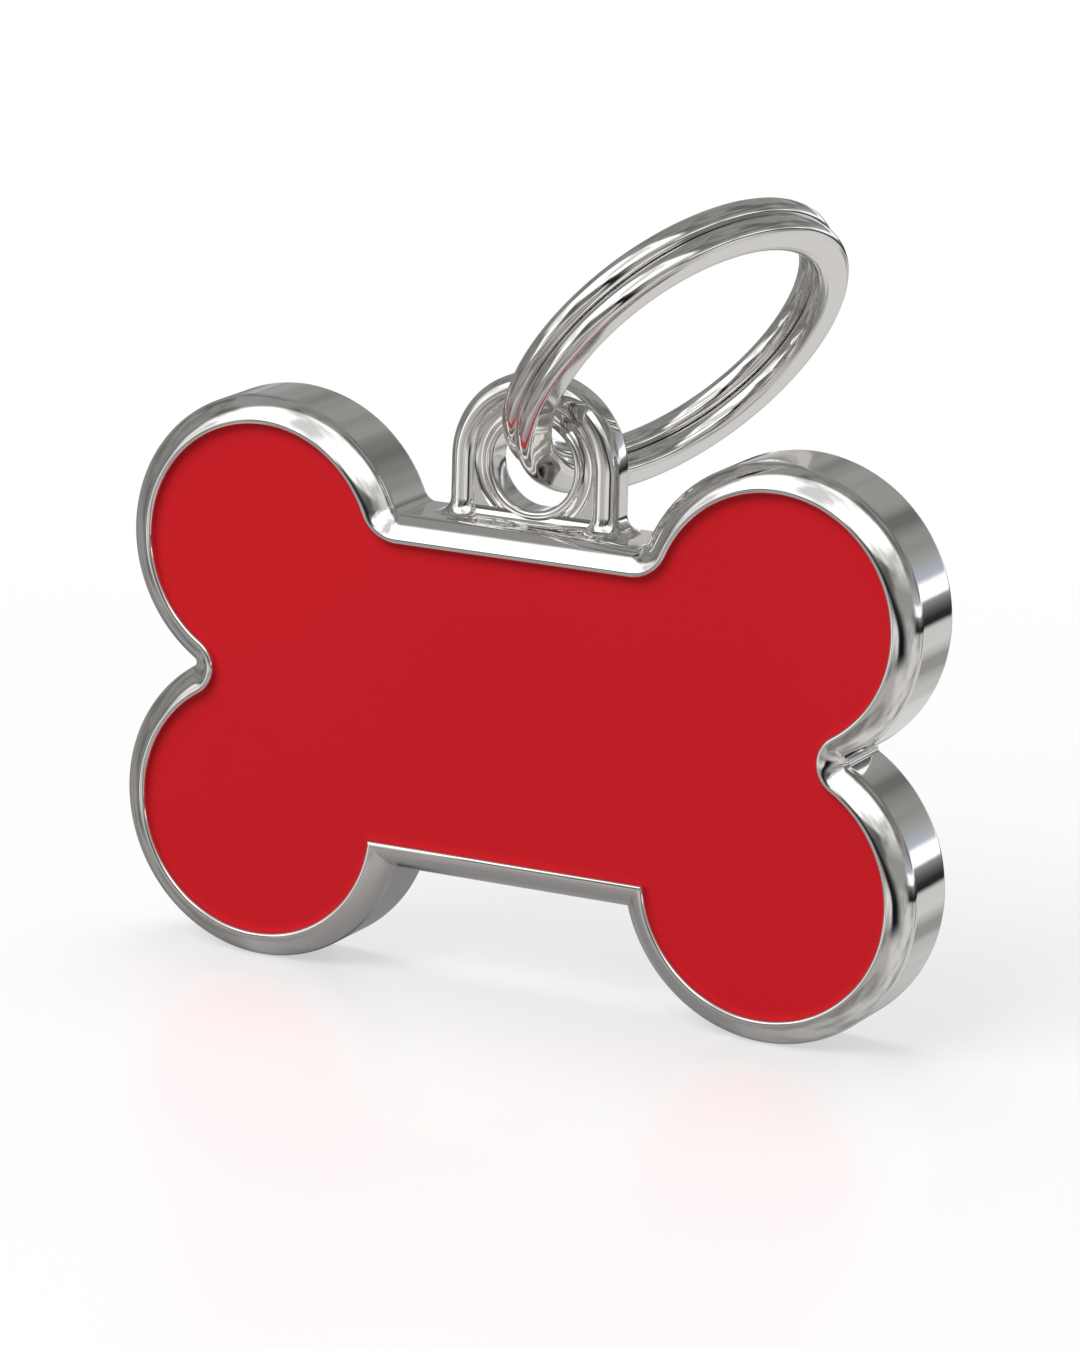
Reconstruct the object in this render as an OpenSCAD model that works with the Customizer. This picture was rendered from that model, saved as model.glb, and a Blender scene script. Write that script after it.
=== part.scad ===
// Bone-shaped pet id tag: a die-cast body with a raised rim and a drilled lug,
// a red enamel fill in the pocket of its front, and a split ring through the lug.
// Sizes in millimetres. +Z is up, the enamelled face looks along -Y.
// The tag stands on its two lower lobes, as a bone-shaped tag of this thickness can.

/* [Bone outline, at the enamel's edge] */
// Distance of each lobe's centre from the middle of the bone, sideways
lobe_x = 12.2; // [11.5:0.1:14]
// Distance of each lobe's centre above or below mid-height
lobe_z = 5.85; // [5.6:0.05:6.3]
// Radius of the two upper lobes
upper_lobe_r = 5.4; // [5.1:0.1:5.8]
// Radius of the two lower lobes
lower_lobe_r = 5.6; // [5.3:0.1:5.9]
// Height of the upper straight edge above mid-height
waist_top = 6.85; // [6.4:0.05:7.2]
// Depth of the lower straight edge below mid-height
waist_bottom = 6.45; // [6.1:0.05:6.9]
// Radius of the round notch between the lobes at each end
notch_r = 1.4; // [1.3:0.05:1.9]
// Radius of the round inside corners beside the lug
corner_r = 1.8; // [1.3:0.05:2.1]

/* [Body and rim] */
// Thickness of the tag, from its back face to the crest of its rim
body_t = 4; // [3.4:0.1:5]
// Width of the rim, from the enamel's edge to the side wall
rim_w = 1.2; // [1.05:0.05:1.25]
// Height of the rim's crest above the enamel
rim_h = 0.35; // [0.2:0.05:0.5]
// Radius of the fine bead that borders the enamel
bead_r = 0.2; // [0.15:0.01:0.25]
// Depth of the crease between the bead and the flank, below the bead's middle
crease = 0.06; // [0.02:0.01:0.12]
// Radius that rolls the rim's flank over into the side wall
flank_r = 0.6; // [0.4:0.05:0.7]
// Radius of the back edge
back_r = 0.25; // [0.15:0.05:0.4]

/* [Enamel] */
// Thickness of the enamel fill
enamel_t = 0.8; // [0.5:0.1:1.2]

/* [Lug] */
// Height of the lug's bore above mid-height
lug_z = 10.6; // [10.4:0.1:11.5]
// Radius of the lug's round head
lug_r = 4; // [3.7:0.1:4.3]
// Radius of the bore that the ring hangs in
bore_r = 1.95; // [1.9:0.05:2.1]
// Thickness of the lug's outer roll
lug_t = 1.75; // [1.6:0.05:1.9]
// Distance of the lug's back from the tag's back face
lug_back = 0.52; // [0.4:0.02:0.9]
// Width of the thick roll that forms the head and the legs
roll_w = 1.25; // [1:0.05:1.4]
// Radius of the roll's edges
roll_r = 0.6; // [0.4:0.05:0.7]
// Depth of the flat web below the roll, on each side
web_step = 0.3; // [0.1:0.05:0.3]
// Radius of the fine bead round the bore
bore_bead_r = 0.2; // [0.12:0.02:0.25]
// Radius of the fillet at the lug's foot
foot_r = 0.4; // [0.25:0.05:0.5]

/* [Split ring] */
// Outer radius of the split ring
ring_r = 8.25; // [7.5:0.05:10]
// Width of the flattened wire, across the ring's radius
wire_w = 1.6; // [1.3:0.05:1.65]
// Thickness of the flattened wire, along the ring's axis
wire_t = 0.82; // [0.6:0.02:0.84]
// Gap between the two turns of the wire
turn_gap = 0.45; // [0.42:0.01:0.6]
// Width of the rounded part at each edge of the flattened wire
wire_edge = 0.4; // [0.25:0.05:0.5]
// Lean of the ring's axis from the vertical, in degrees
ring_lean = 53; // [50:1:56]
// Heading of the ring's axis about the vertical, in degrees
ring_heading = 160; // [157:1:163]
// Place of the bore on the ring, in degrees round it
bore_angle = 32; // [30:1:34]
// Distance of the wire's middle from the bore's centre, towards the ring's middle
ring_seat = 0.22; // [0.1:0.02:0.26]
// Place of the crossover from turn to turn, in degrees round the ring
join_angle = 9; // [-60:3:9]
// Arc that the crossover takes, in degrees
join_span = 30; // [24:3:60]

/* [Hidden] */
$fn = 48;

// Levels of the tag, as heights from its back face towards the front
enamel_face = body_t - rim_h;
floor_t = enamel_face - enamel_t;
flank_top = body_t - bead_r - crease;
wall_top = flank_top - flank_r;
edge_steps = 16;

// Places of the tag in the standing part: its lowest lobes touch z = 0,
// and the middle of the ring lies on y = 0
mid_z = lobe_z + lower_lobe_r + rim_w;
bore_z = mid_z + lug_z;
wire_r = ring_r - wire_w / 2;
bore_reach = wire_r + ring_seat;
bore_way = ring_way(bore_angle);
bore_y = bore_way[1] * bore_reach;
ring_centre = [-bore_way[0] * bore_reach, 0, bore_z - bore_way[2] * bore_reach];
back_y = bore_y + lug_t / 2 + lug_back;

// Centre of the round notch, which touches the upper and the lower lobe
notch_up = upper_lobe_r + notch_r;
notch_down = lower_lobe_r + notch_r;
notch_y = (notch_down * notch_down - notch_up * notch_up) / (4 * lobe_z);
notch_x = lobe_x + sqrt(notch_up * notch_up - (lobe_z - notch_y) * (lobe_z - notch_y));

// Centre of the round inside corner, which touches the upper lobe and the upper edge
corner_y = waist_top + corner_r;
corner_reach = upper_lobe_r + corner_r;
corner_x = lobe_x - sqrt(corner_reach * corner_reach - (corner_y - lobe_z) * (corner_y - lobe_z));

// Directions in which the lobes touch those arcs
notch_dir_up = atan2(notch_y - lobe_z, notch_x - lobe_x);
notch_dir_down = atan2(notch_y + lobe_z, notch_x - lobe_x);
corner_dir = atan2(corner_y - lobe_z, corner_x - lobe_x);

// Steps along each arc of the outline, and round each arc of the rim's section
quarter_steps = 9;
part_steps = 7;
lobe_steps = quarter_steps + 2 * part_steps;
notch_steps = 8;
corner_steps = 6;
round_steps = 4;
back_steps = 2;

// The wire's route: two turns with one crossover between their planes
ring_steps = 40;
step_angle = 360 / ring_steps;
half_pitch = (wire_t + turn_gap) / 2;
route_start = join_angle + join_span / 2;
route_steps = floor((720 - join_span) / step_angle);
edge_angle = 30;
wire_section = concat(wire_side(-90), wire_side(90));
section_sides = len(wire_section);

// Unit vector from the ring's middle towards a place on it
function ring_way(a) = [
    cos(a) * cos(ring_lean) * cos(ring_heading) - sin(a) * sin(ring_heading),
    cos(a) * cos(ring_lean) * sin(ring_heading) + sin(a) * cos(ring_heading),
    -cos(a) * sin(ring_lean)
];

// Points round one edge of the wire's section
function wire_side(from) = [
    for (a = [from:edge_angle:from + 180])
    [
        sign(cos(from + 90)) * (wire_w / 2 - wire_edge) + wire_edge * cos(a),
        wire_t / 2 * sin(a)
    ]
];

// Smooth rise from 0 to 1
function ease(t) = t * t * (3 - 2 * t);

// Distance of the wire from the middle plane, at an angle along the route
function route_rise(a) =
    let (t = (a - join_angle - 360 + join_span / 2) / join_span)
    half_pitch * (2 * ease(min(1, max(0, t))) - 1);

// Corners of the wire's section at one step of the route
function route_ring(k) =
    let (a = route_start + k * step_angle)
    [for (p = wire_section) [
        (wire_r + p[0]) * cos(a),
        (wire_r + p[0]) * sin(a),
        p[1] + route_rise(a)
    ]];

route_rings = [for (k = [0:route_steps]) route_ring(k)];
turn_gaps = [
    for (k = [0:route_steps])
    for (j = [k + ring_steps / 2:route_steps])
    for (p = route_rings[k])
    for (q = route_rings[j])
    norm(p - q)
];
echo(str("Least gap from turn to turn of the split ring: ", min(turn_gaps), " mm"));

// Points of an arc, from one angle to another, with or without the first
function arc(centre, r, from, to, steps, first = 1) = [
    for (i = [first:steps])
    let (a = from + (to - from) * i / steps)
    [centre[0] + r * cos(a), centre[1] + r * sin(a)]
];

// Direction in which a lower lobe meets the lower edge, at a distance outwards
function lower_dir(out) =
    let (r = lower_lobe_r + out, drop = waist_bottom + out - lobe_z)
    atan2(-drop, -sqrt(r * r - drop * drop));

// Arc of a lobe, clockwise, that keeps the lobe's outermost points
function lobe_arc(centre, r, from, first, second, to) = concat(
    arc(centre, r, from, first, part_steps),
    arc(centre, r, first, second, quarter_steps),
    arc(centre, r, second, to, part_steps)
);

// Right half of the bone's outline, from the top inwards corner down to the lower edge
function right_half(out) = concat(
    arc([corner_x, corner_y], corner_r - out, -90, corner_dir - 180, corner_steps, 0),
    lobe_arc([lobe_x, lobe_z], upper_lobe_r + out, corner_dir, 90, 0, notch_dir_up),
    arc([notch_x, notch_y], notch_r - out, notch_dir_up + 180, notch_dir_down + 180, notch_steps),
    lobe_arc([lobe_x, -lobe_z], lower_lobe_r + out, notch_dir_down, 0, -90, lower_dir(out))
);

// Whole outline at a distance outwards from the enamel's edge and at a level
function bone_ring(out, level) =
    let (half = right_half(out), n = len(half))
    [
        for (p = half) [p[0], p[1], level],
        for (i = [1:n]) [-half[n - i][0], half[n - i][1], level]
    ];

// Inner points that the flat faces are split from: two lobes and the middle of each end
function bone_hubs(level) = [
    [lobe_x, lobe_z, level],
    [lobe_x, notch_y, level],
    [lobe_x, -lobe_z, level],
    [-lobe_x, -lobe_z, level],
    [-lobe_x, notch_y, level],
    [-lobe_x, lobe_z, level]
];

half_count = corner_steps + 1 + 2 * lobe_steps + notch_steps;
ring_count = 2 * half_count;
upper_count = corner_steps + 1 + lobe_steps;
lower_start = upper_count + notch_steps;

// Hub that a point of the outline belongs to
function hub(i) =
    i >= half_count ? 5 - hub(ring_count - 1 - i) :
    i < upper_count ? 0 :
    i < lower_start ? 1 :
    2;

// Triangles of a flat face over the outline, seen clockwise from the front
function cap(rim_at, hubs_at) = [
    for (i = [0:ring_count - 1])
    let (j = (i + 1) % ring_count)
    each concat(
        [[hubs_at + hub(i), rim_at + i, rim_at + j]],
        hub(i) == hub(j) ? [] : [[hubs_at + hub(i), rim_at + j, hubs_at + hub(j)]]
    ),
    for (i = [2:5]) [hubs_at + 1, hubs_at + i, hubs_at + (i + 1) % 6]
];

// Solid whose outline follows a list of distances outwards and levels, back to front
module bone_solid(levels) {
    n = len(levels);
    last = (n - 1) * ring_count;
    hubs = n * ring_count;
    points = concat(
        [for (l = levels) each bone_ring(l[0], l[1])],
        bone_hubs(levels[0][1]),
        bone_hubs(levels[n - 1][1])
    );
    walls = [
        for (k = [0:n - 2])
        for (i = [0:ring_count - 1])
        let (
            a = k * ring_count + i,
            b = k * ring_count + (i + 1) % ring_count
        )
        each [
            [a, b, b + ring_count],
            [a, b + ring_count, a + ring_count]
        ]
    ];
    back = [for (t = cap(0, hubs)) [t[0], t[2], t[1]]];
    front = cap(last, hubs + 6);
    polyhedron(points = points, faces = concat(walls, back, front), convexity = 6);
}

// Section of the body: distance outwards from the enamel's edge, and level
body_levels = concat(
    arc([rim_w - back_r, back_r], back_r, -90, 0, back_steps, 0),
    arc([rim_w - flank_r, wall_top], flank_r, 0, 90, round_steps, 0),
    [[2 * bead_r, flank_top]],
    arc([bead_r, body_t - bead_r], bead_r, 0, 180, round_steps, 0),
    [[0, floor_t]]
);

// Places a shape drawn on the tag's back face, with Z towards its front
module on_tag() {
    translate([0, back_y, mid_z])
        rotate([90, 0, 0])
            children();
}

// Both halves of a shape drawn on the right of the bone
module both_sides() {
    children();
    mirror([1, 0, 0])
        children();
}

// Section of the lug's roll: X runs outwards from the bore, Y through its thickness
module roll_section() {
    translate([lug_r - roll_w + roll_r, 0])
        square([roll_w - 2 * roll_r, lug_t]);
    translate([lug_r - roll_w, roll_r])
        square([roll_w, lug_t - 2 * roll_r]);
    for (x = [lug_r - roll_w + roll_r, lug_r - roll_r])
        for (y = [roll_r, lug_t - roll_r])
            translate([x, y])
                circle(r = roll_r, $fn = edge_steps);
}

// Fillet in the corner between the lug's foot and the ledge: X outwards, Y up
module foot_section() {
    difference() {
        square(foot_r);
        translate([foot_r, foot_r])
            circle(r = foot_r, $fn = edge_steps);
    }
}

// The lug: a roll bent over a flat web, with a beaded bore
module lug() {
    ledge = waist_top + rim_w;
    leg_h = lug_z - ledge + back_r;
    web_t = lug_t - 2 * web_step;
    translate([0, 0, lug_back]) {
        difference() {
            union() {
                translate([0, lug_z, 0])
                    rotate_extrude(angle = 180)
                        roll_section();
                both_sides()
                    translate([0, lug_z, 0])
                        rotate([90, 0, 0])
                            linear_extrude(height = leg_h)
                                roll_section();
                translate([0, lug_z, web_step])
                    cylinder(r = lug_r - roll_w / 2, h = web_t);
                translate([-lug_r + roll_w / 2, lug_z - leg_h, web_step])
                    cube([2 * lug_r - roll_w, leg_h, web_t]);
                both_sides()
                    translate([lug_r, ledge, roll_r / 2])
                        linear_extrude(height = lug_t - roll_r)
                            foot_section();
                for (z = [web_step, lug_t - web_step])
                    translate([0, lug_z, z])
                        rotate_extrude()
                            translate([bore_r + bore_bead_r, 0])
                                circle(r = bore_bead_r, $fn = edge_steps);
            }
            translate([0, lug_z, -lug_t])
                cylinder(r = bore_r, h = 3 * lug_t);
        }
    }
}

// The cast and plated body: floor, rim and lug in one piece
module tag_body() {
    color("silver")
        on_tag() {
            bone_solid(body_levels);
            lug();
        }
}

// The red enamel, flush with the inside of the rim and a little below its crest
module enamel_fill() {
    color("firebrick")
        on_tag()
            bone_solid([[0, floor_t], [0, enamel_face]]);
}

// The wire wound twice round, as one tube
module ring_wire() {
    last = route_steps * section_sides;
    points = [for (r = route_rings) each r];
    sides = [
        for (k = [0:route_steps - 1])
        for (i = [0:section_sides - 1])
        let (
            a = k * section_sides + i,
            b = k * section_sides + (i + 1) % section_sides
        )
        each [
            [a, b, b + section_sides],
            [a, b + section_sides, a + section_sides]
        ]
    ];
    start_cap = [for (i = [1:section_sides - 2]) [0, i + 1, i]];
    end_cap = [for (i = [1:section_sides - 2]) [last, last + i, last + i + 1]];
    polyhedron(points = points, faces = concat(sides, start_cap, end_cap), convexity = 4);
}

// The split ring as it leans in the photograph's pose
module split_ring() {
    color("lightgray")
        translate(ring_centre)
            rotate([0, ring_lean, ring_heading])
                ring_wire();
}

tag_body();
enamel_fill();
split_ring();
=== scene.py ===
import math

import bmesh
import bpy
from mathutils import Matrix, Vector


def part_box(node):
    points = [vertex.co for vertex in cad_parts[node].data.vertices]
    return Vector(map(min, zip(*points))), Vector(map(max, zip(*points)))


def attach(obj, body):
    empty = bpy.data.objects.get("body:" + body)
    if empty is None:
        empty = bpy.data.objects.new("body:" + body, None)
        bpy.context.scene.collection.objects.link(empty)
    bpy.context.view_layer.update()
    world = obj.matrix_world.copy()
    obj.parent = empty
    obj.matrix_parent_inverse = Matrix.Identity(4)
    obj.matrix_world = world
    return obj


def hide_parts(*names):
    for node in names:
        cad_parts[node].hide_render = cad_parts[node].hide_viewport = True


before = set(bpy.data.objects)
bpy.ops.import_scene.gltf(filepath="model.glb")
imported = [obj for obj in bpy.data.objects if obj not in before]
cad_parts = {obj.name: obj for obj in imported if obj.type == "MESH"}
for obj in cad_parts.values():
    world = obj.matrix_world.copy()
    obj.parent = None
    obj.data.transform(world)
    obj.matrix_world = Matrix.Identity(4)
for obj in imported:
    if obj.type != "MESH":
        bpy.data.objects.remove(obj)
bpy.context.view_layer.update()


# Tag body: a bone-shaped die casting in zinc, tumbled smooth and bright
# plated. Its rim is one smooth roll from the side wall over to a small lip
# round the pocket for the enamel, and its back is flat.
MM = 0.001
MID_Z = 12.65 * MM
LOBE_X = 12.2 * MM
LOBE_Z = 5.85 * MM
UPPER_R = 5.4 * MM
LOWER_R = 5.6 * MM
WAIST_TOP = 6.85 * MM
WAIST_BOTTOM = 6.45 * MM
NOTCH_R = 1.4 * MM
CORNER_R = 1.8 * MM
TAG_T = 4.0 * MM
RIM_W = 1.2 * MM
RIM_H = 0.35 * MM
LIP_R = 0.17 * MM
LIP_TILT = 24.0
EDGE_R = 0.40 * MM
EDGE_TILT = 50.0
BACK_R = 0.25 * MM
ENAMEL_T = 0.8 * MM
BORDER = 0.06 * MM
WELD = 0.002 * MM
BONE_STEPS = 96
BACK_STEPS = 6
EDGE_STEPS = 8
FLANK_STEPS = 12
LIP_STEPS = 14
LOWER_SWEEP_END = -177.0
CREASE = 35.0
X_AXIS, Y_AXIS = (1, 0, 0), (0, 1, 0)
CHROME = (0.80, 0.79, 0.775, 1.0)
WAVE_SCALE = 420.0
WAVE_DEPTH = 0.05 * MM
SMEAR_SCALE = 160.0
HAZE_SPREAD = 2.2

crest_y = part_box("tag_body")[0][1]
back_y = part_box("tag_body")[1][1]
enamel_y = crest_y + RIM_H
notch_up = UPPER_R + NOTCH_R
notch_down = LOWER_R + NOTCH_R
notch_z = (notch_down ** 2 - notch_up ** 2) / (4 * LOBE_Z)
notch_x = LOBE_X + math.sqrt(notch_up ** 2 - (LOBE_Z - notch_z) ** 2)
corner_z = WAIST_TOP + CORNER_R
corner_x = LOBE_X - math.sqrt((UPPER_R + CORNER_R) ** 2 - (corner_z - LOBE_Z) ** 2)
top_edge_z = MID_Z + WAIST_TOP
upper_lobe = Vector((LOBE_X, 0, MID_Z + LOBE_Z))
lower_lobe = Vector((LOBE_X, 0, MID_Z - LOBE_Z))
notch = Vector((notch_x, 0, MID_Z + notch_z))
corner = Vector((corner_x, 0, MID_Z + corner_z))
floor_level = TAG_T - RIM_H - ENAMEL_T


def bearing(start, end):
    """Direction between two places in the front view, in degrees anticlockwise from the right."""
    return math.degrees(math.atan2(end.z - start.z, end.x - start.x))


def mitre(out):
    """Where the lower lobe's edge meets the bottom edge, at a distance outwards from the enamel."""
    drop = WAIST_BOTTOM + out - LOBE_Z
    along = math.sqrt((LOWER_R + out) ** 2 - drop ** 2)
    return Vector((LOBE_X - along, 0, MID_Z - WAIST_BOTTOM - out))


def begin(name, x, y, z):
    """A new piece that starts as a single point, ready to be drawn on."""
    bpy.ops.object.select_all(action="DESELECT")
    bpy.ops.mesh.primitive_plane_add(size=MM, location=(x, y, z))
    piece = bpy.context.object
    piece.name = name
    bpy.ops.object.transform_apply(location=True, rotation=True, scale=True)
    bpy.ops.object.mode_set(mode="EDIT")
    bpy.ops.mesh.select_mode(type="VERT")
    bpy.ops.mesh.select_all(action="SELECT")
    bpy.ops.mesh.merge(type="CENTER")
    return piece


def run(x, y, z):
    """Draws or sweeps what is selected along a straight line."""
    bpy.ops.mesh.extrude_region_move(TRANSFORM_OT_translate={"value": (x, y, z)})


def run_flat(x, y, z):
    """A straight line with a narrow border at each end, so that only the borders shade round."""
    length = Vector((x, y, z)).length
    edge = Vector((x, y, z)) * (BORDER / length)
    run(*edge)
    run(x - 2 * edge.x, y - 2 * edge.y, z - 2 * edge.z)
    run(*edge)


def turn(steps, degrees, centre, axis):
    """Draws or sweeps what is selected round an axis, by the right-hand rule."""
    bpy.ops.mesh.spin(steps=steps, angle=-math.radians(degrees), center=centre, axis=axis)


def select_where(piece, test):
    """Selects the points of the piece that pass a test, with the edges and faces between them."""
    mesh = bmesh.from_edit_mesh(piece.data)
    bpy.ops.mesh.select_all(action="DESELECT")
    for vert in mesh.verts:
        vert.select = test(vert.co)
    mesh.select_flush(True)
    bmesh.update_edit_mesh(piece.data)


def sweep_round_bone(piece):
    """Sweeps a section round the right half of the bone, from the middle of the top to that of the bottom.

    The lower lobe is swept on past the bottom edge and cut back to the mitre between the two. From
    there a last length is drawn to the left and pressed flat onto the middle.
    """
    inside_arc = bearing(corner, upper_lobe) + 90
    upper_arc = bearing(upper_lobe, corner) - bearing(upper_lobe, notch)
    notch_arc = bearing(notch, lower_lobe) + 360 - bearing(notch, upper_lobe)
    lower_arc = bearing(lower_lobe, notch) - LOWER_SWEEP_END
    bpy.ops.mesh.select_all(action="SELECT")
    run_flat(corner_x, 0, 0)
    turn(BONE_STEPS // 4, -inside_arc, corner, Y_AXIS)
    turn(BONE_STEPS, upper_arc, upper_lobe, Y_AXIS)
    turn(BONE_STEPS // 3, -notch_arc, notch, Y_AXIS)
    turn(BONE_STEPS, lower_arc, lower_lobe, Y_AXIS)
    inner, outer = mitre(0), mitre(RIM_W)
    across = Vector((inner.z - outer.z, 0, outer.x - inner.x)).normalized()
    inside = LOBE_X - LOWER_R / 2
    low = MID_Z - LOBE_Z + LOWER_R / 4
    select_where(piece, lambda p: p.x < inside and p.z < low)
    bpy.ops.mesh.bisect(plane_co=inner, plane_no=across, clear_inner=True, threshold=WELD)
    select_where(piece, lambda p: abs((p - inner).dot(across)) < WELD and p.z < MID_Z)
    run(-MM, 0, 0)
    bpy.ops.transform.resize(value=(0, 1, 1), center_override=(0, 0, 0))


def other_half(piece):
    """Adds the left half and welds it to the right one along the middle."""
    bpy.ops.object.mode_set(mode="OBJECT")
    mirror = piece.modifiers.new("left half", "MIRROR")
    mirror.merge_threshold = 5 * WELD
    bpy.ops.object.modifier_apply(modifier=mirror.name)
    bpy.ops.object.mode_set(mode="EDIT")


def cover(piece, level_y):
    """Closes a flat opening that faces front or back with one face inside a narrow border."""
    select_where(piece, lambda p: abs(p.y - level_y) < WELD)
    bpy.ops.mesh.edge_face_add()
    bpy.ops.mesh.inset(thickness=BORDER, use_even_offset=True)


def finish_skin(piece, crease=CREASE):
    """Welds the piece, turns its faces outwards and shades all but its sharp edges smooth."""
    bpy.ops.mesh.select_all(action="SELECT")
    bpy.ops.mesh.remove_doubles(threshold=WELD)
    bpy.ops.mesh.normals_make_consistent(inside=False)
    bpy.ops.object.mode_set(mode="OBJECT")
    bpy.ops.object.shade_smooth_by_angle(angle=math.radians(crease))


def plating(name, ripple, haze):
    """Bright plating: mirror smooth, with faint waves from tumbling and a little haze from handling."""
    material = bpy.data.materials.new(name)
    material.use_nodes = True
    nodes, links = material.node_tree.nodes, material.node_tree.links
    shader = nodes["Principled BSDF"]
    shader.inputs["Metallic"].default_value = 1.0
    shader.inputs["Base Color"].default_value = CHROME
    place = nodes.new("ShaderNodeTexCoord")
    waves = nodes.new("ShaderNodeTexNoise")
    waves.inputs["Scale"].default_value = WAVE_SCALE
    waves.inputs["Detail"].default_value = 1.5
    bump = nodes.new("ShaderNodeBump")
    bump.inputs["Strength"].default_value = ripple
    bump.inputs["Distance"].default_value = WAVE_DEPTH
    smears = nodes.new("ShaderNodeTexNoise")
    smears.inputs["Scale"].default_value = SMEAR_SCALE
    smears.inputs["Detail"].default_value = 4.0
    polish = nodes.new("ShaderNodeMapRange")
    polish.inputs["From Min"].default_value = 0.35
    polish.inputs["From Max"].default_value = 0.75
    polish.inputs["To Min"].default_value = haze
    polish.inputs["To Max"].default_value = haze * HAZE_SPREAD
    links.new(place.outputs["Object"], waves.inputs["Vector"])
    links.new(place.outputs["Object"], smears.inputs["Vector"])
    links.new(waves.outputs["Fac"], bump.inputs["Height"])
    links.new(bump.outputs["Normal"], shader.inputs["Normal"])
    links.new(smears.outputs["Fac"], polish.inputs["Value"])
    links.new(polish.outputs["Result"], shader.inputs["Roughness"])
    return material


def dress(piece, material, body, slot, *nodes):
    """Gives a finished piece its material and its body, and hides the CAD nodes it stands for."""
    piece.data.materials.clear()
    piece.data.materials.append(material)
    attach(piece, body)
    if nodes:
        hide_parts(*nodes)


def facing(degrees):
    """Way that a face of the rim looks, from straight ahead towards the outside."""
    return Vector((0, -math.cos(math.radians(degrees)), math.sin(math.radians(degrees))))


lip_mid = Vector((0, crest_y + LIP_R, top_edge_z + LIP_R))
lip_start = lip_mid + LIP_R * facing(LIP_TILT)
edge_mid = Vector((0, 0, top_edge_z + RIM_W - EDGE_R))
flank_rise = edge_mid.z + EDGE_R * facing(EDGE_TILT).z - lip_start.z
flank_r = flank_rise / (facing(EDGE_TILT).z - facing(LIP_TILT).z)
flank_mid = lip_start - flank_r * facing(LIP_TILT)
edge_mid.y = (flank_mid + (flank_r - EDGE_R) * facing(EDGE_TILT)).y

tag_cast = begin("tag_cast", 0, back_y, top_edge_z + RIM_W - BACK_R)
turn(BACK_STEPS, 90, (0, back_y - BACK_R, top_edge_z + RIM_W - BACK_R), X_AXIS)
run_flat(0, edge_mid.y - back_y + BACK_R, 0)
turn(EDGE_STEPS, 90 - EDGE_TILT, edge_mid, X_AXIS)
turn(FLANK_STEPS, EDGE_TILT - LIP_TILT, flank_mid, X_AXIS)
turn(LIP_STEPS, LIP_TILT + 90, lip_mid, X_AXIS)
run(0, TAG_T - LIP_R - floor_level, 0)
sweep_round_bone(tag_cast)
other_half(tag_cast)
cover(tag_cast, back_y)
cover(tag_cast, back_y - floor_level)
finish_skin(tag_cast)
body_plating = plating("body_plating", ripple=0.12, haze=0.045)
dress(tag_cast, body_plating, "tag", "plated_casting", "tag_body")


# Lug: part of the same casting. A thick round-edged roll arches over on two
# legs that spread into the top edge, round a thinner flat web. The bore has
# a fine bead and a shallow dish round it on both sides.
LUG_Z = 10.6 * MM
LUG_R = 4.0 * MM
LUG_T = 1.75 * MM
LUG_BACK = 0.52 * MM
BORE_R = 1.95 * MM
BORE_BEAD = 0.2 * MM
ROLL_W = 1.25 * MM
ROLL_R = 0.6 * MM
WEB_STEP = 0.3 * MM
WEB_OVERLAP = 0.25 * MM
FOOT_H = 0.75 * MM
FOOT_SIDE = 0.8 * MM
FOOT_FRONT = 0.48 * MM
FOOT_SINK = 0.1 * MM
DISH_W = 0.5 * MM
DISH_D = 0.09 * MM
COVE_HALF = 3.4 * MM
COVE_R = 0.55 * MM
BACK_COVE_R = 0.44 * MM
ROLL_STEPS = 10
ARCH_STEPS = 40
ROLL_CREASE = 40.0
FOOT_STEPS = 12
DISH_STEPS = 10
BEAD_STEPS = 12
BORE_STEPS = 96
COVE_STEPS = 10

lug_y = back_y - LUG_BACK - LUG_T / 2
bore = Vector((0, lug_y, MID_Z + LUG_Z))
ledge_z = top_edge_z + RIM_W
roll_mid = LUG_R - ROLL_W / 2


def join_ends():
    """Welds an outline that has come back to its start, and selects all of it."""
    bpy.ops.mesh.select_all(action="SELECT")
    bpy.ops.mesh.remove_doubles(threshold=WELD)
    bpy.ops.mesh.select_all(action="SELECT")


def begin_bar(name, steps, wide, high, edge, y, z, wide_side=run):
    """A new piece that starts as the outline of a round-edged bar, in the plane x = 0, round a middle."""
    half_y, half_z = wide / 2 - edge, high / 2 - edge
    piece = begin(name, 0, y + wide / 2, z + half_z)
    turn(steps, 90, (0, y + half_y, z + half_z), X_AXIS)
    wide_side(0, -2 * half_y, 0)
    turn(steps, 90, (0, y - half_y, z + half_z), X_AXIS)
    run(0, 0, -2 * half_z)
    turn(steps, 90, (0, y - half_y, z - half_z), X_AXIS)
    wide_side(0, 2 * half_y, 0)
    turn(steps, 90, (0, y + half_y, z - half_z), X_AXIS)
    run(0, 0, 2 * half_z)
    join_ends()
    return piece


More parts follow.
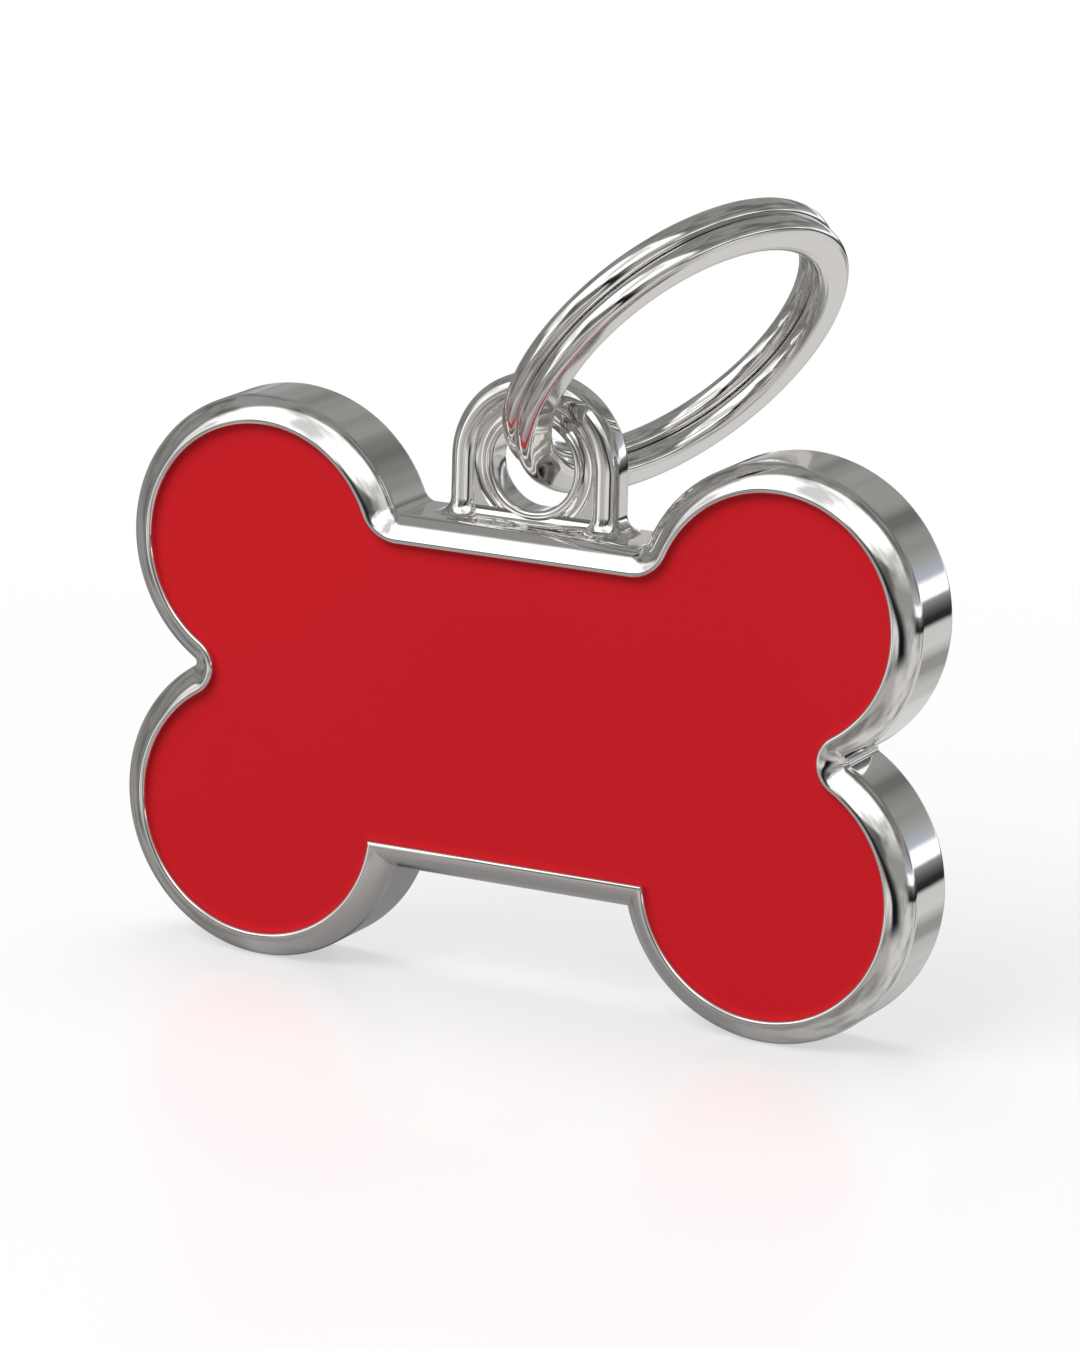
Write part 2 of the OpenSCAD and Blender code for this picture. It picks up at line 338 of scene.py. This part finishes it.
# The roll's section is drawn at the top of the arch and swept down its right leg.
lug_roll = begin_bar(
    "lug_roll", ROLL_STEPS, wide=LUG_T, high=ROLL_W, edge=ROLL_R, y=lug_y, z=bore.z + roll_mid
)
turn(ARCH_STEPS, 90, bore, Y_AXIS)
run_flat(0, 0, ledge_z + FOOT_H - bore.z)
for step in range(FOOT_STEPS):
    before = math.radians(90 * step / FOOT_STEPS)
    after = math.radians(90 * (step + 1) / FOOT_STEPS)
    run(0, 0, FOOT_H * (math.sin(before) - math.sin(after)))
    spread_before, spread_after = 1 - math.cos(before), 1 - math.cos(after)
    widen = (ROLL_W / 2 + FOOT_SIDE * spread_after) / (ROLL_W / 2 + FOOT_SIDE * spread_before)
    thicken = (LUG_T / 2 + FOOT_FRONT * spread_after) / (LUG_T / 2 + FOOT_FRONT * spread_before)
    bpy.ops.transform.resize(value=(widen, thicken, 1), center_override=(roll_mid, lug_y, 0))
run(0, 0, -FOOT_SINK)
bpy.ops.mesh.edge_face_add()
other_half(lug_roll)
finish_skin(lug_roll, ROLL_CREASE)
dress(lug_roll, body_plating, "tag", "plated_casting")

# The web's section is drawn above the bore and turned right round it.
web_half = LUG_T / 2 - WEB_STEP
web_out = roll_mid + WEB_OVERLAP
dish_r = (DISH_W ** 2 / 4 + DISH_D ** 2) / (2 * DISH_D)
dish_turn = 2 * math.degrees(math.asin(DISH_W / 2 / dish_r))
dish_in = BORE_R + 2 * BORE_BEAD
dish_mid = bore.z + dish_in + DISH_W / 2
bead_mid = bore.z + BORE_R + BORE_BEAD
lug_web = begin("lug_web", 0, lug_y + web_half, bore.z + web_out)
run(0, 0, dish_in + DISH_W - web_out)
turn(DISH_STEPS, dish_turn, (0, lug_y + web_half + dish_r - DISH_D, dish_mid), X_AXIS)
turn(BEAD_STEPS, -180, (0, lug_y + web_half, bead_mid), X_AXIS)
run_flat(0, -2 * web_half, 0)
turn(BEAD_STEPS, -180, (0, lug_y - web_half, bead_mid), X_AXIS)
turn(DISH_STEPS, dish_turn, (0, lug_y - web_half - dish_r + DISH_D, dish_mid), X_AXIS)
run(0, 0, web_out - dish_in - DISH_W)
run(0, 2 * web_half, 0)
join_ends()
turn(BORE_STEPS, 360, bore, Y_AXIS)
finish_skin(lug_web)
dress(lug_web, body_plating, "tag", "plated_casting")

# The coves fill the corners between the web and the ledge, in front and behind.
for name, toward, radius in (("lug_cove_front", -1, COVE_R), ("lug_cove_back", 1, BACK_COVE_R)):
    face_y = lug_y + toward * web_half
    cove = begin(name, -COVE_HALF, face_y, ledge_z + radius)
    turn(COVE_STEPS, toward * 90, (-COVE_HALF, face_y + toward * radius, ledge_z + radius), X_AXIS)
    run(0, 0, -FOOT_SINK)
    run(0, -toward * (radius + web_half / 2), 0)
    run(0, 0, radius + FOOT_SINK)
    run(0, toward * web_half / 2, 0)
    join_ends()
    bpy.ops.mesh.edge_face_add()
    run(2 * COVE_HALF, 0, 0)
    finish_skin(cove)
    dress(cove, body_plating, "tag", "plated_casting")


# Enamel: opaque red, poured into the pocket and cured level, a little below
# the rim's crest. It climbs very slightly where it wets the rim.
CLIMB_W = 0.3 * MM
CLIMB_H = 0.05 * MM
CLIMB_STEPS = 5
ENAMEL_RED = (0.585, 0.012, 0.0185)
CLOUDINESS = 0.03
CLOUD_SCALE = 90.0
PEEL_SCALE = 900.0
PEEL_DEPTH = 0.02 * MM

enamel = begin("enamel", 0, back_y - floor_level - WELD, top_edge_z)
run(0, enamel_y - back_y + floor_level, 0)
for step in range(CLIMB_STEPS):
    before, after = 1 - step / CLIMB_STEPS, 1 - (step + 1) / CLIMB_STEPS
    run(0, CLIMB_H * (before ** 2 - after ** 2), -CLIMB_W / CLIMB_STEPS)
sweep_round_bone(enamel)
other_half(enamel)
cover(enamel, enamel_y + CLIMB_H - WELD)
cover(enamel, back_y - floor_level - WELD)
finish_skin(enamel)

enamel_red = bpy.data.materials.new("enamel_red")
enamel_red.use_nodes = True
nodes, links = enamel_red.node_tree.nodes, enamel_red.node_tree.links
shader = nodes["Principled BSDF"]
shader.inputs["Roughness"].default_value = 0.45
shader.inputs["Specular IOR Level"].default_value = 0.1
place = nodes.new("ShaderNodeTexCoord")
clouds = nodes.new("ShaderNodeTexNoise")
clouds.inputs["Scale"].default_value = CLOUD_SCALE
clouds.inputs["Detail"].default_value = 3.0
tint = nodes.new("ShaderNodeMix")
tint.data_type = "RGBA"
tint.inputs["A"].default_value = (*((1 - CLOUDINESS) * part for part in ENAMEL_RED), 1.0)
tint.inputs["B"].default_value = (*((1 + CLOUDINESS) * part for part in ENAMEL_RED), 1.0)
orange_peel = nodes.new("ShaderNodeTexNoise")
orange_peel.inputs["Scale"].default_value = PEEL_SCALE
orange_peel.inputs["Detail"].default_value = 2.0
bump = nodes.new("ShaderNodeBump")
bump.inputs["Strength"].default_value = 0.06
bump.inputs["Distance"].default_value = PEEL_DEPTH
links.new(place.outputs["Object"], clouds.inputs["Vector"])
links.new(place.outputs["Object"], orange_peel.inputs["Vector"])
links.new(clouds.outputs["Fac"], tint.inputs["Factor"])
links.new(tint.outputs["Result"], shader.inputs["Base Color"])
links.new(orange_peel.outputs["Fac"], bump.inputs["Height"])
links.new(bump.outputs["Normal"], shader.inputs["Normal"])
dress(enamel, enamel_red, "tag", "enamel", "enamel_fill")


# Split ring: plated spring wire, flattened, wound twice round so that the two
# turns lie against each other, with one step over from turn to turn beside
# its two cut ends. It is wound flat and then leant over into its place.
RING_R = 8.24 * MM
WIRE_W = 1.6 * MM
WIRE_T = 1.0 * MM
TURN_GAP = 0.04 * MM
WIRE_EDGE = 0.44 * MM
RING_LEAN = 53.0
RING_HEADING = 160.0
BORE_ANGLE = 32.0
RING_SEAT = 0.22 * MM
JOIN_ANGLE = 3.0
JOIN_SPAN = 17.5
WIRE_STEP = 2.5
WIRE_EDGE_STEPS = 8
Z_AXIS = (0, 0, 1)

wire_r = RING_R - WIRE_W / 2
rise = WIRE_T + TURN_GAP
lean = Matrix.Rotation(math.radians(RING_LEAN), 4, "Y")
tilt = Matrix.Rotation(math.radians(RING_HEADING), 4, "Z") @ lean
bore_angle = math.radians(BORE_ANGLE)
toward_bore = tilt @ Vector((math.cos(bore_angle), math.sin(bore_angle), 0))
ring_centre = bore - toward_bore * (wire_r + RING_SEAT)

flat_arc = 360 - JOIN_SPAN
flat_steps = round(flat_arc / WIRE_STEP)
join_steps = round(JOIN_SPAN / WIRE_STEP)


def ease(share):
    """A share from 0 to 1 of the step over, with a smooth start and end."""
    return share ** 2 * (3 - 2 * share)


split_ring = begin_bar(
    "split_ring_wire", WIRE_EDGE_STEPS, wide=WIRE_W, high=WIRE_T, edge=WIRE_EDGE,
    y=wire_r, z=-rise / 2, wide_side=run_flat,
)
bpy.ops.mesh.edge_face_add()
bpy.ops.mesh.select_all(action="SELECT")
turn(flat_steps, flat_arc, (0, 0, 0), Z_AXIS)
for step in range(join_steps):
    turn(1, WIRE_STEP, (0, 0, 0), Z_AXIS)
    climb = ease((step + 1) / join_steps) - ease(step / join_steps)
    bpy.ops.transform.translate(value=(0, 0, rise * climb))
turn(flat_steps, flat_arc, (0, 0, 0), Z_AXIS)
finish_skin(split_ring)
join_turn = Matrix.Rotation(math.radians(JOIN_ANGLE + JOIN_SPAN / 2 - 90), 4, "Z")
split_ring.matrix_world = Matrix.Translation(ring_centre) @ tilt @ join_turn
bpy.ops.object.transform_apply(location=True, rotation=True, scale=True)
ring_plating = plating("ring_plating", ripple=0.08, haze=0.04)
dress(split_ring, ring_plating, "ring", "spring_wire", "split_ring")


# Camera: the photograph's place, a little to the right of the tag's front and
# a little above it, with a long lens and a slight roll. It was fitted to the
# outlines of the enamel, the rim and the lug.
CAMERA_RIGHT = Vector((0.88942, 0.45636, 0.02593))
CAMERA_UP = Vector((-0.13491, 0.20788, 0.96881))
CAMERA_X = 121.9 * MM
CAMERA_Y = -238.7 * MM
CAMERA_Z = 70.0 * MM
PHOTO_HEIGHT_PX = 1350.0
FOCAL_PX = 6500.3
SENSOR = 36.0

camera_back = CAMERA_RIGHT.cross(CAMERA_UP).normalized()
camera_turn = Matrix((CAMERA_RIGHT, CAMERA_UP, camera_back)).transposed().to_4x4()
camera_data = bpy.data.cameras.new("camera")
camera_data.sensor_width = SENSOR
camera_data.lens = SENSOR * FOCAL_PX / PHOTO_HEIGHT_PX
camera_data.clip_start = 0.01
camera_data.clip_end = 5.0
camera = bpy.data.objects.new("camera", camera_data)
bpy.context.collection.objects.link(camera)
camera.matrix_world = Matrix.Translation((CAMERA_X, CAMERA_Y + enamel_y, CAMERA_Z + MID_Z)) @ camera_turn
bpy.context.scene.camera = camera


# Studio floor: a plain, slightly glossy table that keeps the tag's shadow and
# reflection. The camera sees it paler than it is and fading into the white
# background. In metal it gives way to the room a short way from the tag.
FLOOR_SIZE = 1.2
FLOOR_GREY = (0.31, 0.31, 0.31, 1.0)
PALE_LIFT = 0.55
FADE_NEAR = 0.020
FADE_FAR = 0.090
TABLE_NEAR = 0.008
TABLE_FAR = 0.024

bpy.ops.object.select_all(action="DESELECT")
bpy.ops.mesh.primitive_plane_add(size=FLOOR_SIZE, location=(0, 0, 0))
floor = bpy.context.object
floor.name = "floor"
floor_white = bpy.data.materials.new("floor_white")
floor_white.use_nodes = True
nodes, links = floor_white.node_tree.nodes, floor_white.node_tree.links
shader = nodes["Principled BSDF"]
shader.inputs["Base Color"].default_value = FLOOR_GREY
shader.inputs["Roughness"].default_value = 0.22
shader.inputs["Emission Color"].default_value = (1.0, 1.0, 1.0, 1.0)
shader.inputs["Specular IOR Level"].default_value = 0.35


def feed(socket, source):
    """Sets a socket to a constant, or links another node's output to it."""
    if isinstance(source, bpy.types.NodeSocket):
        links.new(source, socket)
    else:
        socket.default_value = source


def maths(operation, *values):
    """Works out one value from numbers or outputs."""
    node = nodes.new("ShaderNodeMath")
    node.operation = operation
    for socket, value in zip(node.inputs, values):
        feed(socket, value)
    return node.outputs["Value"]


def smooth_step(value, start, end):
    """Share from 0 to 1 that a value has gone from start to end."""
    step = nodes.new("ShaderNodeMapRange")
    step.interpolation_type = "SMOOTHSTEP"
    step.inputs["From Min"].default_value = start
    step.inputs["From Max"].default_value = end
    links.new(value, step.inputs["Value"])
    return step.outputs["Result"]


place = nodes.new("ShaderNodeTexCoord")
distance = nodes.new("ShaderNodeVectorMath")
distance.operation = "LENGTH"
links.new(place.outputs["Object"], distance.inputs[0])
path = nodes.new("ShaderNodeLightPath")
to_camera = path.outputs["Is Camera Ray"]
in_mirror = maths("MAXIMUM", path.outputs["Is Glossy Ray"], path.outputs["Is Transmission Ray"])
faded = maths("MULTIPLY", smooth_step(distance.outputs["Value"], FADE_NEAR, FADE_FAR), to_camera)
cleared = maths("MULTIPLY", smooth_step(distance.outputs["Value"], TABLE_NEAR, TABLE_FAR), in_mirror)

white = nodes.new("ShaderNodeEmission")
white.inputs["Strength"].default_value = 1.0
clear = nodes.new("ShaderNodeBsdfTransparent")
to_white = nodes.new("ShaderNodeMixShader")
to_clear = nodes.new("ShaderNodeMixShader")
links.new(maths("MULTIPLY", to_camera, PALE_LIFT), shader.inputs["Emission Strength"])
links.new(faded, to_white.inputs["Fac"])
links.new(shader.outputs["BSDF"], to_white.inputs[1])
links.new(white.outputs["Emission"], to_white.inputs[2])
links.new(cleared, to_clear.inputs["Fac"])
links.new(to_white.outputs["Shader"], to_clear.inputs[1])
links.new(clear.outputs["BSDF"], to_clear.inputs[2])
links.new(to_clear.outputs["Shader"], nodes["Material Output"].inputs["Surface"])
floor.data.materials.append(floor_white)


# Studio surroundings: an even light for the enamel, and a white background.
# Metal is shown a room instead, with grey walls, white panels high up, a white
# strip over a black line behind the tag, and a black flag that leans at the right.
ROOM_LOW = -0.40
ROOM_HIGH = 0.70
EVEN_LIGHT = (0.42, 0.42, 0.42, 1.0)
WHITE = (1.0, 1.0, 1.0, 1.0)
PANEL = (1.45, 1.45, 1.45)
STRIP = (1.25, 1.25, 1.25)
LINE = (0.012, 0.012, 0.014)
LEFT_CORNER = (-0.83, -0.76)
FRONT_LEFT_CORNER = (-0.60, -0.50)
FRONT_MIDDLE = (-0.14, -0.06)
FRONT_RIGHT_CORNER = (0.50, 0.62)
BACK_LEFT_CORNER = (-0.54, -0.46)
BACK_CORNERS = (-0.44, -0.34)
FLAG_NEAR = (0.34, 0.40)
FLAG_FAR = (0.48, 0.70)
FLAG_FOOT = (-0.55, -0.34)
FLAG_SIDE = (0.0, 0.10)
FLAG_SLOPE = 1.2
FLAG_UPRIGHT_BELOW = -0.14
FLAG_EASE = 0.16
PATCH_SCALE = 3.2
PATCH_FROM = 0.37
PATCH_TO = 0.55
PATCH_DARK = 0.54
PATCH_BRIGHT = 1.15

world = bpy.data.worlds.new("studio")
bpy.context.scene.world = world
world.use_nodes = True
nodes, links = world.node_tree.nodes, world.node_tree.links
place = nodes.new("ShaderNodeTexCoord")
split = nodes.new("ShaderNodeSeparateXYZ")
links.new(place.outputs["Generated"], split.inputs["Vector"])
across, ahead, up = split.outputs["X"], split.outputs["Y"], split.outputs["Z"]
height = nodes.new("ShaderNodeMapRange")
height.inputs["From Min"].default_value = ROOM_LOW
height.inputs["From Max"].default_value = ROOM_HIGH
links.new(up, height.inputs["Value"])


def wall(*bands):
    """One side of the room, as bands of colour from low to high, each from a height on the unit sphere."""
    ramp = nodes.new("ShaderNodeValToRGB")
    elements = ramp.color_ramp.elements
    elements.remove(elements[1])
    for index, (level, *colour) in enumerate(bands):
        at = (level - ROOM_LOW) / (ROOM_HIGH - ROOM_LOW)
        element = elements.new(at) if index else elements[0]
        element.position = at
        element.color = (*colour, 1)
    links.new(height.outputs["Result"], ramp.inputs["Fac"])
    return ramp.outputs["Color"]


back_left = wall(
    (ROOM_LOW, 0.32, 0.31, 0.30),
    (-0.10, 0.25, 0.245, 0.235),
    (ROOM_HIGH, 0.30, 0.295, 0.285),
)
back_wall = wall(
    (ROOM_LOW, 0.64, 0.63, 0.62),
    (-0.20, 0.60, 0.59, 0.58),
    (-0.175, *LINE),
    (-0.14, 0.03, 0.03, 0.032),
    (-0.09, 0.13, 0.13, 0.135),
    (-0.045, 0.30, 0.305, 0.315),
    (-0.03, *STRIP),
    (0.05, *STRIP),
    (0.08, 0.46, 0.50, 0.58),
    (0.17, 0.36, 0.365, 0.375),
    (0.25, 0.28, 0.275, 0.265),
    (0.37, 0.33, 0.325, 0.315),
    (0.46, 0.31, 0.305, 0.295),
    (ROOM_HIGH, 0.28, 0.275, 0.265),
)
far_left = wall(
    (ROOM_LOW, 0.30, 0.29, 0.28),
    (0.06, 0.27, 0.265, 0.255),
    (0.15, *PANEL),
    (ROOM_HIGH, *PANEL),
)
near_left = wall(
    (ROOM_LOW, 0.32, 0.31, 0.30),
    (-0.32, 0.36, 0.35, 0.34),
    (-0.27, 1.05, 1.04, 1.03),
    (0.0, *PANEL),
    (ROOM_HIGH, *PANEL),
)
front_wall = wall(
    (ROOM_LOW, 0.36, 0.35, 0.34),
    (-0.30, 0.50, 0.49, 0.48),
    (-0.20, 0.46, 0.45, 0.44),
    (-0.08, 0.20, 0.196, 0.19),
    (0.15, 0.14, 0.138, 0.135),
    (0.34, 0.34, 0.335, 0.325),
    (0.42, *PANEL),
    (ROOM_HIGH, *PANEL),
)
front_right = wall(
    (ROOM_LOW, 0.42, 0.41, 0.40),
    (-0.28, 0.80, 0.79, 0.78),
    (-0.18, 0.75, 0.74, 0.73),
    (-0.06, 0.30, 0.295, 0.285),
    (0.15, 0.12, 0.118, 0.115),
    (0.30, 0.22, 0.216, 0.21),
    (0.36, *PANEL),
    (ROOM_HIGH, *PANEL),
)
far_right = wall(
    (ROOM_LOW, 0.62, 0.61, 0.60),
    (-0.22, 0.70, 0.69, 0.68),
    (-0.05, 0.32, 0.315, 0.305),
    (0.15, 0.30, 0.295, 0.285),
    (0.30, 0.55, 0.54, 0.53),
    (ROOM_HIGH, *PANEL),
)
black_flag = wall(
    (ROOM_LOW, *LINE),
    (ROOM_HIGH, 0.015, 0.015, 0.017),
)


def mix(share, here, there):
    """One colour from two, each a constant or an output."""
    both = nodes.new("ShaderNodeMix")
    both.data_type = "RGBA"
    links.new(share, both.inputs["Factor"])
    feed(both.inputs["A"], here)
    feed(both.inputs["B"], there)
    return both.outputs["Result"]


def blend(here, there, way, start, end):
    """Goes over from one side of the room to another along an axis or a slope of the world."""
    return mix(smooth_step(way, start, end), here, there)


lean_up = maths("SMOOTH_MAX", up, FLAG_UPRIGHT_BELOW, FLAG_EASE)
slope = maths("MULTIPLY_ADD", lean_up, FLAG_SLOPE, across)
room = blend(far_left, near_left, across, *LEFT_CORNER)
room = blend(room, front_wall, across, *FRONT_LEFT_CORNER)
room = blend(room, front_right, across, *FRONT_MIDDLE)
room = blend(room, far_right, across, *FRONT_RIGHT_CORNER)
flagged = blend(room, black_flag, slope, *FLAG_NEAR)
flagged = blend(flagged, room, slope, *FLAG_FAR)
flagged = blend(room, flagged, up, *FLAG_FOOT)
room = blend(room, flagged, across, *FLAG_SIDE)
back = blend(back_left, back_wall, across, *BACK_LEFT_CORNER)
room = blend(room, back, ahead, *BACK_CORNERS)

patches = nodes.new("ShaderNodeTexNoise")
patches.inputs["Scale"].default_value = PATCH_SCALE
patches.inputs["Detail"].default_value = 2.0
uneven = nodes.new("ShaderNodeMapRange")
uneven.inputs["From Min"].default_value = PATCH_FROM
uneven.inputs["From Max"].default_value = PATCH_TO
uneven.inputs["To Min"].default_value = PATCH_DARK
uneven.inputs["To Max"].default_value = PATCH_BRIGHT
patchy_room = nodes.new("ShaderNodeVectorMath")
patchy_room.operation = "SCALE"
links.new(place.outputs["Generated"], patches.inputs["Vector"])
links.new(patches.outputs["Fac"], uneven.inputs["Value"])
links.new(room, patchy_room.inputs[0])
links.new(uneven.outputs["Result"], patchy_room.inputs["Scale"])

path = nodes.new("ShaderNodeLightPath")
in_mirror = maths("MAXIMUM", path.outputs["Is Glossy Ray"], path.outputs["Is Transmission Ray"])
surroundings = mix(in_mirror, EVEN_LIGHT, patchy_room.outputs["Vector"])
background = nodes["Background"]
background.inputs["Strength"].default_value = 1.0
links.new(mix(path.outputs["Is Camera Ray"], surroundings, WHITE), background.inputs["Color"])


# Lamps: a wide softbox high at the left of the camera, which lights the enamel
# and leaves a thin shadow under the rim, and a square one above and behind for
# the soft shadow in front. Metal mirrors neither.
LAMP_AIM = Vector((0, 0, 0.012))


def lamp(name, place, width, height, watts):
    """A softbox of a given size that faces the tag."""
    data = bpy.data.lights.new(name, "AREA")
    data.shape = "RECTANGLE"
    data.size = width
    data.size_y = height
    data.energy = watts
    light = bpy.data.objects.new(name, data)
    bpy.context.collection.objects.link(light)
    light.location = place
    light.visible_glossy = False
    light.rotation_euler = (LAMP_AIM - Vector(place)).to_track_quat("-Z", "Y").to_euler()


lamp("softbox_key", (-0.13, -0.30, 0.36), width=0.40, height=0.26, watts=2.0)
lamp("softbox_top", (-0.04, 0.09, 0.42), width=0.22, height=0.22, watts=1.0)

bpy.context.scene.view_settings.view_transform = "Standard"
